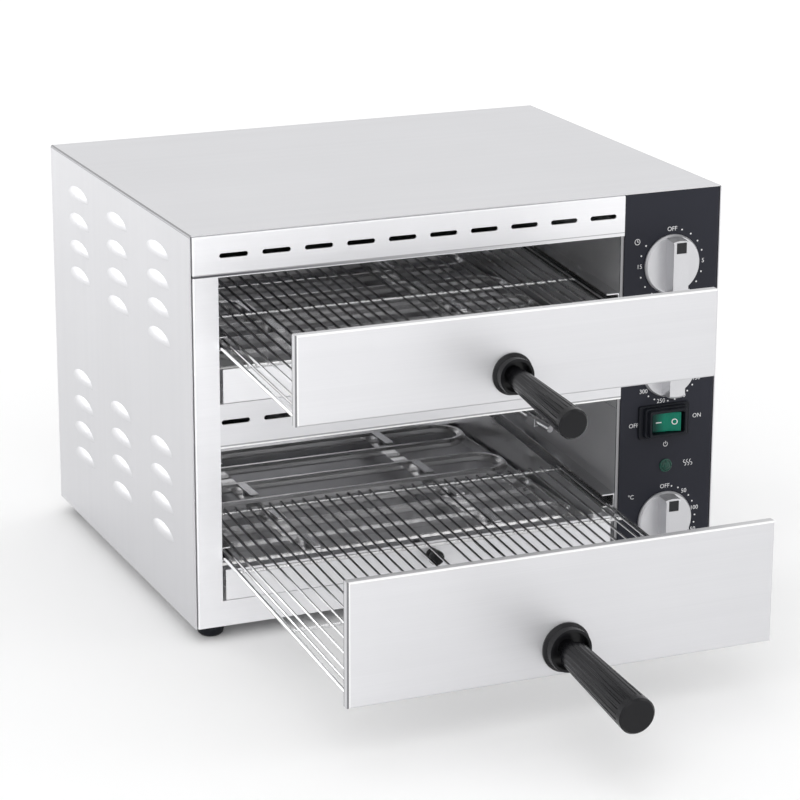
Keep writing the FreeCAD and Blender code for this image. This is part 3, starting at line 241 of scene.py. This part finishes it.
# Painted highlight: a near-white line along the rail's lower edge, with a band of painted shade
# above it.
tint(
    divider_steel,
    (band(divider_steel, RAIL_EDGE - LIP, RAIL_EDGE + RAIL_HIGHLIGHT_TOP), grey(0.98)),
    (band(divider_steel, RAIL_EDGE + RAIL_HIGHLIGHT_TOP, RAIL_EDGE + BEND), grey(0.4, SHADE_BLUE)),
)
dress(divider_steel, "divider_rail")


# --- Base, liners and rack channels ---------------------------------------------------------------
# Plain rolled sheet inside the cooking spaces, smoother than the outside, with the cloudy marks and
# the soft mirror of bare steel. The base below is a duller sheet of the same kind.
def mill(name, rolled, level, roughness, metallic):
    """Bare rolled sheet with soft clouds in its shine."""
    finish = Finish(name, Metallic=metallic)
    clouds = finish.noise(finish.place, 7.0, 2.0, 0.5)
    rolling = finish.noise(finish.stretched(*rolled), 1.0, 2.0)
    finish.set(
        Base_Color=finish.mix(
            clouds, grey(level - 0.05, SHADE_BLUE), grey(level + 0.05, STEEL_BLUE)),
        Roughness=roughness - 0.05 + 0.06 * clouds + 0.08 * rolling,
    )
    finish.bump(rolling, 0.05 * MM, 0.2)
    return finish


ROLLED_ACROSS = (5, 260, 260)
ROLLED_INWARD = (260, 5, 260)
liner_steel = mill("liner_steel", ROLLED_ACROSS, level=0.92, roughness=0.18, metallic=0.95)
dress(liner_steel, "rear_liner", "top_liner", "upper_element_frame", "lower_element_frame")
deck_steel = mill("deck_steel", ROLLED_ACROSS, level=0.84, roughness=0.13, metallic=1.0)
dress(deck_steel, "middle_deck", "bottom_deck")
channel_steel = mill("channel_steel", ROLLED_INWARD, level=0.78, roughness=0.18, metallic=0.97)
dress(
    channel_steel, "upper_left_channel", "upper_right_channel", "lower_left_channel",
    "lower_right_channel",
)
wall_steel = mill("wall_steel", ROLLED_INWARD, level=0.84, roughness=0.27, metallic=0.84)
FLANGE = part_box("right_liner")[0].y + 1.4 * MM
# Painted shade: the right wall's front flange is darkened as if in shadow.
painted_flange_shade = (wall_steel.along("Y") < FLANGE) * (wall_steel.along("X") > 0)
tint(wall_steel, (painted_flange_shade, grey(0.3, SHADE_BLUE)))
dress(wall_steel, "left_liner", "right_liner")
base_steel = mill("base_steel", ROLLED_ACROSS, level=0.55, roughness=0.38, metallic=1.0)
dress(base_steel, "base_plate")


# --- Feet -----------------------------------------------------------------------------------------
# Four dished feet moulded in black rubber, slightly lighter where the rubber flowed. Each is held
# to the base plate by one screw from below.
def moulded(name, colour, roughness, peel, shine):
    """Moulded plastic or rubber with a fine skin."""
    finish = Finish(name, Specular_IOR_Level=shine)
    skin = finish.noise(finish.place, 700.0, 2.0)
    flow = finish.noise(finish.place, 45.0, 3.0)
    lighter = tuple(1.5 * part + 0.002 for part in colour) + (1,)
    finish.set(
        Base_Color=finish.mix(flow, colour + (1,), lighter),
        Roughness=roughness - 0.05 + 0.1 * flow,
    )
    finish.bump(skin, 0.04 * MM, peel)
    return finish


rubber = moulded("black_rubber", (0.006, 0.007, 0.01), roughness=0.4, peel=0.5, shine=0.16)
dress(rubber, "feet")


# --- Heating elements -----------------------------------------------------------------------------
# Two bent tubular heaters on each deck in a bright alloy sheath, slightly straw where they were
# fired at the factory. The lugs of the element frame hold them.
sheath = Finish("element_sheath", Metallic=0.85)
scale_marks = sheath.noise(sheath.place, 60.0, 4.0, 0.6)
firing = sheath.noise(sheath.place, 11.0, 2.0)
sheath.set(
    Base_Color=sheath.mix(firing, (0.93, 0.92, 0.91, 1), (0.98, 0.98, 0.99, 1)),
    Roughness=0.15 + 0.08 * scale_marks,
)
dress(
    sheath, "upper_front_element", "upper_rear_element", "lower_front_element",
    "lower_rear_element",
)


# --- Temperature sensors --------------------------------------------------------------------------
# A thin plated bulb, clipped to the right wall of each deck. The shafts of the controls and all
# the screws are plated steel as well.
plated = Finish("plated_metal", Metallic=0.8)
plating = plated.noise(plated.place, 120.0, 2.0)
plated.set(
    Base_Color=plated.mix(plating, grey(0.75), grey(0.86, SHADE_BLUE)),
    Roughness=0.22 + 0.16 * plating,
)
dress(
    plated, "upper_sensor_bulb", "lower_sensor_bulb", "upper_sensor_clip", "lower_sensor_clip",
    "timer_shaft", "upper_thermostat_shaft", "lower_thermostat_shaft", "back_screws",
    "foot_screws", "upper_handle_screw", "lower_handle_screw",
)


# --- Racks ----------------------------------------------------------------------------------------
# Bright nickel-plated wire, welded across two rods and three bars and let into a strip at the door.
# Each rack hangs in the channels of its deck and slides out with its door.
bright_wire = Finish("bright_wire", Metallic=1.0)
drawn = bright_wire.noise(bright_wire.stretched(900, 30, 900), 1.0, 2.0)
bright_wire.set(
    Base_Color=bright_wire.mix(drawn, grey(0.72), grey(0.86, SHADE_BLUE)),
    Roughness=0.12 + 0.14 * drawn,
)
dress(bright_wire, "upper_rack", "lower_rack")


# --- Doors ----------------------------------------------------------------------------------------
# Shallow folded trays of brushed stainless steel, with their grain across, bolted through to the
# handles. The bends carry painted light: a painted highlight along the top and left bends of the
# face, a painted shade line at the face's left edge, and painted shade on the top flange and rear
# left edge.
FACE_DEPTH = 1.3 * MM
TOP_FLANGE = 0.4 * MM
TOP_BEND = 1.3 * MM
SIDE_BEND = 2.2 * MM
DARK_LINE = 1.3 * MM
REAR_EDGE_DEPTH = 1.1 * MM
REAR_EDGE_WIDTH = 1 * MM
for door in ("upper_door", "lower_door"):
    door_steel = brushed(
        door + "_steel", GRAIN_ACROSS, level=0.68, roughness=0.38, metallic=0.85)
    low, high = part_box(door)
    across, depth, upward = (door_steel.along(axis) for axis in "XYZ")
    face = depth < low.y + FACE_DEPTH
    # Painted light on the folds: a highlight along the top and left bends of the face, a shade line
    # at its left edge, and shade on the top flange and the rear left edge.
    painted_top_flange_shade = (upward > high.z - TOP_FLANGE) * (1 - face)
    painted_bend_highlight = face * (upward > high.z - TOP_BEND).larger(across < low.x + SIDE_BEND)
    painted_bend_shade = face * (across < low.x + DARK_LINE)
    painted_rear_edge_shade = (depth > high.y - REAR_EDGE_DEPTH) * (across < low.x + REAR_EDGE_WIDTH)
    tint(
        door_steel,
        (painted_top_flange_shade, grey(0.58, SHADE_BLUE)),
        (painted_bend_highlight, grey(0.9)),
        (painted_bend_shade, grey(0.22, SHADE_BLUE)),
        (painted_rear_edge_shade, grey(0.25, SHADE_BLUE)),
    )
    dress(door_steel, door)


# --- Handles --------------------------------------------------------------------------------------
# Fluted grips and round cups moulded in black heat-proof plastic, satin with a little orange peel.
# The tray knobs, the gland and the bodies of the controls are of the same plastic.
black_plastic = moulded(
    "black_plastic", (0.006, 0.006, 0.007), roughness=0.22, peel=0.3, shine=0.2)
dress(
    black_plastic, "upper_handle", "lower_handle", "upper_handle_cup", "lower_handle_cup",
    "upper_crumb_tray_knob", "lower_crumb_tray_knob", "cable_gland", "timer_body",
    "upper_thermostat_body", "lower_thermostat_body", "lamp_body",
)


# --- Crumb trays ----------------------------------------------------------------------------------
# Thin bright sheet, folded into a pan with a taller front, and pulled by a round black knob. It
# lies loose on the deck under the elements.
tray_steel = brushed("tray_steel", GRAIN_ACROSS, level=0.88, roughness=0.36, metallic=0.5)
dress(tray_steel, "upper_crumb_tray", "lower_crumb_tray")


# --- Control panel --------------------------------------------------------------------------------
# Steel sheet powder-coated in a blue-black satin, and screen-printed in white around each control.
# The print is modelled as a thin solid film on the coat.
coated = Finish("panel_black", Specular_IOR_Level=0.22)
powder = coated.noise(coated.place, 1400.0, 2.0, 0.6)
depth_of_coat = coated.noise(coated.place, 16.0, 3.0)
coated.set(
    Base_Color=coated.mix(depth_of_coat, (0.013, 0.014, 0.021, 1), (0.018, 0.019, 0.028, 1)),
    Roughness=0.46 + 0.12 * powder,
)
coated.bump(powder, 0.03 * MM, 0.35)
dress(coated, "control_panel")

panel_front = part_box("control_panel")[0].y
INK = 0.04 * MM
STROKE = 0.5 * MM
DIAL_RADIUS = 30.5 * MM
DIAL_TEXT = 5.4 * MM
DOT_RADIUS = 0.75 * MM
THERMOSTATS = ("upper_thermostat", "lower_thermostat")


def piece(name, mesh, finish, body):
    """Ends a bmesh as a finished piece that rides on a body."""
    data = bpy.data.meshes.new(name)
    mesh.to_mesh(data)
    mesh.free()
    data.materials.append(finish.material)
    made = bpy.data.objects.new(name, data)
    bpy.context.scene.collection.objects.link(made)
    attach(made, body)
    return made


def middle(name):
    """The middle of a node's box."""
    low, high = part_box(name)
    return (low + high) / 2


def upright(x, z):
    """Turns a flat drawing to face the front of the panel, with its middle at x and z."""
    return Matrix.Translation((x, panel_front - INK, z)) @ Matrix.Rotation(radians(90), 4, "X")


def beside(centre, right, up):
    """A place on the panel, so many millimetres to the right of a control's middle and above it."""
    return upright(centre.x + right * MM, centre.z + up * MM)


def around(dial, angle):
    """A place on the dial of a knob, clockwise from its top."""
    centre = middle(dial + "_knob")
    turn = radians(angle)
    return upright(centre.x + DIAL_RADIUS * sin(turn), centre.z + DIAL_RADIUS * cos(turn))


def lettering(mesh, words, size, where):
    """Adds words as thin solid print, their middle at the place given by the matrix."""
    curve = bpy.data.curves.new("words", "FONT")
    curve.body = words
    curve.size = size
    curve.align_x = "CENTER"
    curve.align_y = "CENTER"
    curve.resolution_u = 3
    curve.extrude = INK
    drawn_words = bpy.data.objects.new("words", curve)
    bpy.context.scene.collection.objects.link(drawn_words)
    ready = drawn_words.evaluated_get(bpy.context.evaluated_depsgraph_get())
    outline = bpy.data.meshes.new_from_object(ready)
    bpy.data.objects.remove(drawn_words)
    outline.transform(where)
    mesh.from_mesh(outline)


def dot(mesh, radius, where):
    bmesh.ops.create_cone(
        mesh, cap_ends=True, segments=14, radius1=radius, radius2=radius, depth=2 * INK,
        matrix=where)


def bar(mesh, width, height, where):
    flat = Matrix.Diagonal((width, height, 2 * INK, 1))
    bmesh.ops.create_cube(mesh, size=1, matrix=where @ flat)


def arc(mesh, radius, width, start, sweep, where, steps):
    """A curved stroke: a short edge spun about the drawing's own middle, then thickened."""
    stroke = bmesh.new()
    inner = stroke.verts.new((radius - width / 2, 0, -INK))
    outer = stroke.verts.new((radius + width / 2, 0, -INK))
    edge = stroke.edges.new((inner, outer))
    bmesh.ops.spin(
        stroke, geom=[inner, outer, edge], cent=(0, 0, 0), axis=(0, 0, 1), angle=radians(sweep),
        steps=steps, use_merge=sweep == 360)
    raised = bmesh.ops.extrude_face_region(stroke, geom=stroke.faces[:])["geom"]
    lifted = [item for item in raised if isinstance(item, bmesh.types.BMVert)]
    bmesh.ops.translate(stroke, verts=lifted, vec=(0, 0, 2 * INK))
    turned = where @ Matrix.Rotation(radians(start), 4, "Z")
    bmesh.ops.transform(stroke, matrix=turned, verts=stroke.verts[:])
    outline = bpy.data.meshes.new("stroke")
    stroke.to_mesh(outline)
    stroke.free()
    mesh.from_mesh(outline)


def scale(mesh, dial, marks, step, numbered, worth):
    """Prints OFF, then marks clockwise by equal steps of so many degrees.

    Every third or fifth mark is a number, each higher than the last by its worth. The others are
    dots.
    """
    lettering(mesh, "OFF", DIAL_TEXT, around(dial, 0))
    for mark in range(1, marks + 1):
        where = around(dial, mark * step)
        if mark % numbered:
            dot(mesh, DOT_RADIUS, where)
        else:
            lettering(mesh, str(mark // numbered * worth), DIAL_TEXT, where)


printing = bmesh.new()
scale(printing, "timer", marks=17, step=18, numbered=5, worth=5)
for thermostat in THERMOSTATS:
    scale(printing, thermostat, marks=18, step=230 / 18, numbered=3, worth=50)
    lettering(printing, "°C", DIAL_TEXT, beside(middle(thermostat + "_knob"), -33, 24))

clock = beside(middle("timer_knob"), -33, 22)
CLOCK_RADIUS = 2.4 * MM
HAND = 0.45 * MM
LONG_HAND, LONG_HAND_MIDDLE = 1.9 * MM, 0.8 * MM
SHORT_HAND, SHORT_HAND_MIDDLE = 1.5 * MM, 0.6 * MM
arc(printing, CLOCK_RADIUS, STROKE, start=0, sweep=360, where=clock, steps=24)
bar(printing, HAND, LONG_HAND, clock @ Matrix.Translation((0, LONG_HAND_MIDDLE, 0)))
bar(printing, SHORT_HAND, HAND, clock @ Matrix.Translation((SHORT_HAND_MIDDLE, 0, 0)))

switch_middle = middle("switch_boot")
lettering(printing, "OFF", DIAL_TEXT, beside(switch_middle, -28.5, -2))
lettering(printing, "ON", DIAL_TEXT, beside(switch_middle, 33, 0.5))
power = beside(switch_middle, 3, -22)
POWER_RADIUS = 2 * MM
POWER_BAR, POWER_BAR_MIDDLE = 2.4 * MM, 1.5 * MM
arc(printing, POWER_RADIUS, STROKE, start=120, sweep=300, where=power, steps=20)
bar(printing, STROKE, POWER_BAR, power @ Matrix.Translation((0, POWER_BAR_MIDDLE, 0)))

lamp_middle = middle("lamp_lens")
WAVE_RADIUS = 1.3
for place_of_wave in (19, 22, 25):
    low_half = beside(lamp_middle, place_of_wave, -WAVE_RADIUS)
    high_half = beside(lamp_middle, place_of_wave, WAVE_RADIUS)
    arc(printing, WAVE_RADIUS * MM, STROKE, start=-90, sweep=180, where=low_half, steps=8)
    arc(printing, WAVE_RADIUS * MM, STROKE, start=90, sweep=180, where=high_half, steps=8)

ink = Finish("white_ink", Roughness=0.5)
ink_cover = ink.noise(ink.place, 900.0, 2.0)
ink.set(Base_Color=ink.mix(ink_cover, grey(0.62, SHADE_BLUE), grey(0.85, SHADE_BLUE)))
piece("panel_printing", printing, ink, "housing")


# --- Knobs ----------------------------------------------------------------------------------------
# Moulded knobs sprayed satin silver and pushed on their shafts. A black square let into the grip
# bar's end is the pointer.
silver = Finish("silver_plastic", Metallic=0.75)
flake = silver.noise(silver.place, 2600.0, 1.0)
spray = silver.noise(silver.place, 30.0, 2.0)
silver.set(
    Base_Color=silver.mix(0.6 * flake + 0.4 * spray, grey(0.54, 0.016), grey(0.7, 0.022)),
    Roughness=0.3 + 0.12 * flake,
)
dress(silver, "timer_knob", "upper_thermostat_knob", "lower_thermostat_knob")

pointer_black = moulded(
    "pointer_black", (0.012, 0.012, 0.014), roughness=0.4, peel=0.3, shine=0.3)
POINTER_RISE = 17.5 * MM
POINTER_SIZE = 9.2 * MM
POINTER_THICKNESS = 0.5 * MM
POINTER_DEPTH = 0.275 * MM
for control in ("timer",) + THERMOSTATS:
    centre = middle(control + "_knob")
    knob_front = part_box(control + "_knob")[0].y
    pointer = bmesh.new()
    insert = Matrix.Diagonal((POINTER_SIZE, POINTER_THICKNESS, POINTER_SIZE, 1))
    bmesh.ops.create_cube(pointer, size=1, matrix=insert)
    bmesh.ops.bevel(
        pointer, geom=pointer.edges[:], offset=0.12 * MM, affect="EDGES", segments=2, profile=0.5,
        material=-1)
    seat = Vector((centre.x, knob_front + POINTER_DEPTH, centre.z + POINTER_RISE))
    bmesh.ops.translate(pointer, verts=pointer.verts[:], vec=seat)
    piece(control + "_pointer", pointer, pointer_black, control)


# --- Switch ---------------------------------------------------------------------------------------
# A lit green rocker in a smoky frame, clipped into the panel. It sits under a soft splash boot of
# black rubber, which steps out from the panel round the rocker.
SHADE_EDGE = 2 * MM
SHADE_FADE_END = 10 * MM
rocker_green = Finish("green_rocker", Roughness=0.25, Specular_IOR_Level=0.2)
glow = rocker_green.noise(rocker_green.place, 110.0, 2.0)
# Painted shade: the rocker's left end is dark in colour and in glow, as if shaded by the boot's
# wall; the rest has the switch's own lit green and faint glow.
rocker_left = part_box("rocker")[0].x
out_of_shade = rocker_green.ramp(
    rocker_green.along("X"), rocker_left + SHADE_EDGE, rocker_left + SHADE_FADE_END)
lit_green = rocker_green.mix(glow, (0.0, 0.09, 0.055, 1), (0.0, 0.13, 0.08, 1))
rocker_green.set(
    Base_Color=rocker_green.mix(out_of_shade, (0.0, 0.025, 0.02, 1), lit_green),
    Emission_Color=rocker_green.mix(out_of_shade, (0.0, 0.008, 0.006, 1), (0.0, 0.045, 0.03, 1)),
    Emission_Strength=1.0,
)
dress(rocker_green, "rocker")
smoky_green = moulded(
    "smoky_green", (0.003, 0.014, 0.012), roughness=0.25, peel=0.2, shine=0.25)
dress(smoky_green, "switch_body")

# Half width, half height and distance from the panel of each step of the boot, in millimetres.
# The last two are the edge of its mouth and the inside, where the rocker moves.
BOOT_STEPS = (
    (24.5, 15.0, 0.0), (24.5, 15.0, 2.4), (20.6, 13.5, 2.4), (20.2, 13.3, 6.4), (18.4, 12.2, 6.4),
    (17.8, 12.0, 10.6), (15.8, 9.3, 10.6), (15.8, 9.3, 0.0),
)
MOUTH_LEVEL = 10.6
BOOT_CORNER = 2.6 * MM
BOOT_ROUNDING = 0.8 * MM
boot = bmesh.new()
bmesh.ops.create_grid(boot, x_segments=1, y_segments=1, size=MM)
bmesh.ops.scale(boot, verts=boot.verts[:], vec=(BOOT_STEPS[0][0], BOOT_STEPS[0][1], 1))
bmesh.ops.bevel(
    boot, geom=boot.verts[:], offset=BOOT_CORNER, affect="VERTICES", segments=4, profile=0.5,
    material=-1)
rim = boot.faces[:][0]
ridges = []
for (old_x, old_z, old_level), (new_x, new_z, new_level) in zip(BOOT_STEPS, BOOT_STEPS[1:]):
    raised = bmesh.ops.extrude_face_region(boot, geom=[rim])["geom"]
    rim = [item for item in raised if isinstance(item, bmesh.types.BMFace)][0]
    bmesh.ops.scale(boot, verts=rim.verts[:], vec=(new_x / old_x, new_z / old_z, 1))
    bmesh.ops.translate(boot, verts=rim.verts[:], vec=(0, 0, (new_level - old_level) * MM))
    if new_level > old_level or old_level == new_level == MOUTH_LEVEL:
        ridges.extend(rim.edges[:])
ends = [face for face in boot.faces if len(face.verts) > 4]
bmesh.ops.delete(boot, geom=ends, context="FACES_ONLY")
bmesh.ops.bridge_loops(boot, edges=[edge for edge in boot.edges if edge.is_boundary])
bmesh.ops.bevel(
    boot, geom=ridges, offset=BOOT_ROUNDING, affect="EDGES", segments=3, profile=0.5, material=-1)
bmesh.ops.recalc_face_normals(boot, faces=boot.faces[:])
bmesh.ops.transform(boot, matrix=beside(switch_middle, 0, 0), verts=boot.verts[:])
splash_boot = piece("splash_boot", boot, rubber, "housing")
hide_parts("switch_boot")

rocker_middle = middle("rocker")
MARK_STROKE = 0.8 * MM
ON_LENGTH = 5.2 * MM
OFF_RADIUS = 2.3 * MM


def on_rocker(right, forward, slope):
    """A place on one wing of the rocker, in millimetres and in degrees of that wing's slope."""
    where = (rocker_middle.x + right * MM, panel_front - forward * MM, rocker_middle.z)
    sloped = Matrix.Rotation(radians(slope), 4, "Z") @ Matrix.Rotation(radians(90), 4, "X")
    return Matrix.Translation(where) @ sloped


rocker_marks = bmesh.new()
on_wing = on_rocker(right=-7.2, forward=5.5, slope=-5.44)
off_wing = on_rocker(right=7.2, forward=7.68, slope=-17.9)
bar(rocker_marks, ON_LENGTH, MARK_STROKE, on_wing)
arc(rocker_marks, OFF_RADIUS, MARK_STROKE, start=0, sweep=360, where=off_wing, steps=24)
piece("rocker_marks", rocker_marks, ink, "rocker")


# --- Lamp -----------------------------------------------------------------------------------------
# A small green lens with a pressed facet pattern, pushed into the panel from the front. It glows
# faintly in front of its black body.
lens = Finish("green_lens", Roughness=0.12, Specular_IOR_Level=0.4)
facets = lens.node(
    "TexVoronoi", {"feature": "DISTANCE_TO_EDGE"}, {"Vector": lens.place, "Scale": 620.0})
lens.set(
    Base_Color=lens.mix(facets, (0.0, 0.02, 0.014, 1), (0.0, 0.1, 0.065, 1)),
    Emission_Color=(0.0, 0.2, 0.12, 1),
    Emission_Strength=0.06,
)
lens.bump(facets, 0.4 * MM, 0.6)
dress(lens, "lamp_lens")


# --- Picture --------------------------------------------------------------------------------------
# A pale floor that lightens into the backdrop, soft lamps round the oven, and a camera at the angle
# of the photograph. None of it is part of the oven.
FLOOR_HALF = 20
floor_mesh = bmesh.new()
bmesh.ops.create_grid(floor_mesh, x_segments=1, y_segments=1, size=FLOOR_HALF)
floor_data = bpy.data.meshes.new("floor")
floor_mesh.to_mesh(floor_data)
floor_mesh.free()
floor = bpy.data.objects.new("floor", floor_data)
bpy.context.scene.collection.objects.link(floor)
pale = Finish("pale_floor", Roughness=0.9, Specular_IOR_Level=0.1)
away = pale.node("VectorMath", {"operation": "LENGTH"}, {0: pale.place}, out="Value")
pale.set(
    Base_Color=grey(0.95),
    Emission_Color=pale.ramp(away, 0.7, 3.5, top=0.2),
    Emission_Strength=1.0,
)
floor_data.materials.append(pale.material)

world = bpy.data.worlds.new("studio")
bpy.context.scene.world = world
world.use_nodes = True
SKY_LIGHT = 0.86
backdrop = Mixture(world.node_tree)
seen = backdrop.node("LightPath", out="Is Camera Ray")
for ray in ("Is Glossy Ray", "Is Transmission Ray"):
    seen = seen.larger(backdrop.node("LightPath", out=ray))
backdrop.feed(
    world.node_tree.nodes["Background"].inputs,
    {"Color": grey(1.0), "Strength": SKY_LIGHT + (1 - SKY_LIGHT) * seen},
)


def lamp(name, place, aim, width, power, height=None):
    data = bpy.data.lights.new(name, "AREA")
    data.shape = "RECTANGLE"
    data.size = width
    data.size_y = height or width
    data.energy = power
    made = bpy.data.objects.new(name, data)
    bpy.context.scene.collection.objects.link(made)
    made.location = place
    made.rotation_euler = (Vector(aim) - Vector(place)).to_track_quat("-Z", "Y").to_euler()


lamp("key", (-1.6, -2.2, 2.6), aim=(0, 0, 0.15), width=3.2, power=19)
lamp("fill", (2.4, -1.8, 1.6), aim=(0, 0, 0.15), width=1.6, power=8)
lamp("top", (0.2, 0.6, 2.8), aim=(0, 0, 0.2), width=1.6, power=6)
lamp("low", (-0.7, -2.6, 0.17), aim=(0, 0.1, 0.15), width=1.5, power=14, height=0.3)
lamp("rear_left", (-1.9, 2.6, 0.9), aim=(-0.2, 0, 0.2), width=1.2, power=13)
lamp("rear_right", (2.7, 1.3, 0.6), aim=(0.24, 0, 0.2), width=1.0, power=9)

FOCAL_PIXELS = 3017.25
PICTURE_PIXELS = 800
SENSOR = 36
CAMERA_PLACE = (-1.00525, -2.38628, 0.91339)
CAMERA_PAN, CAMERA_TILT, CAMERA_ROLL = radians(-23.308), radians(73.154), radians(0.169)
camera_data = bpy.data.cameras.new("camera")
camera_data.sensor_width = SENSOR
camera_data.sensor_fit = "HORIZONTAL"
camera_data.lens = FOCAL_PIXELS / PICTURE_PIXELS * SENSOR
camera_data.clip_end = 60
camera = bpy.data.objects.new("camera", camera_data)
bpy.context.scene.collection.objects.link(camera)
camera.matrix_world = (
    Matrix.Translation(CAMERA_PLACE)
    @ Matrix.Rotation(CAMERA_PAN, 4, "Z") @ Matrix.Rotation(CAMERA_TILT, 4, "X")
    @ Matrix.Rotation(CAMERA_ROLL, 4, "Z"))
bpy.context.scene.camera = camera
bpy.context.scene.view_settings.view_transform = "Standard"
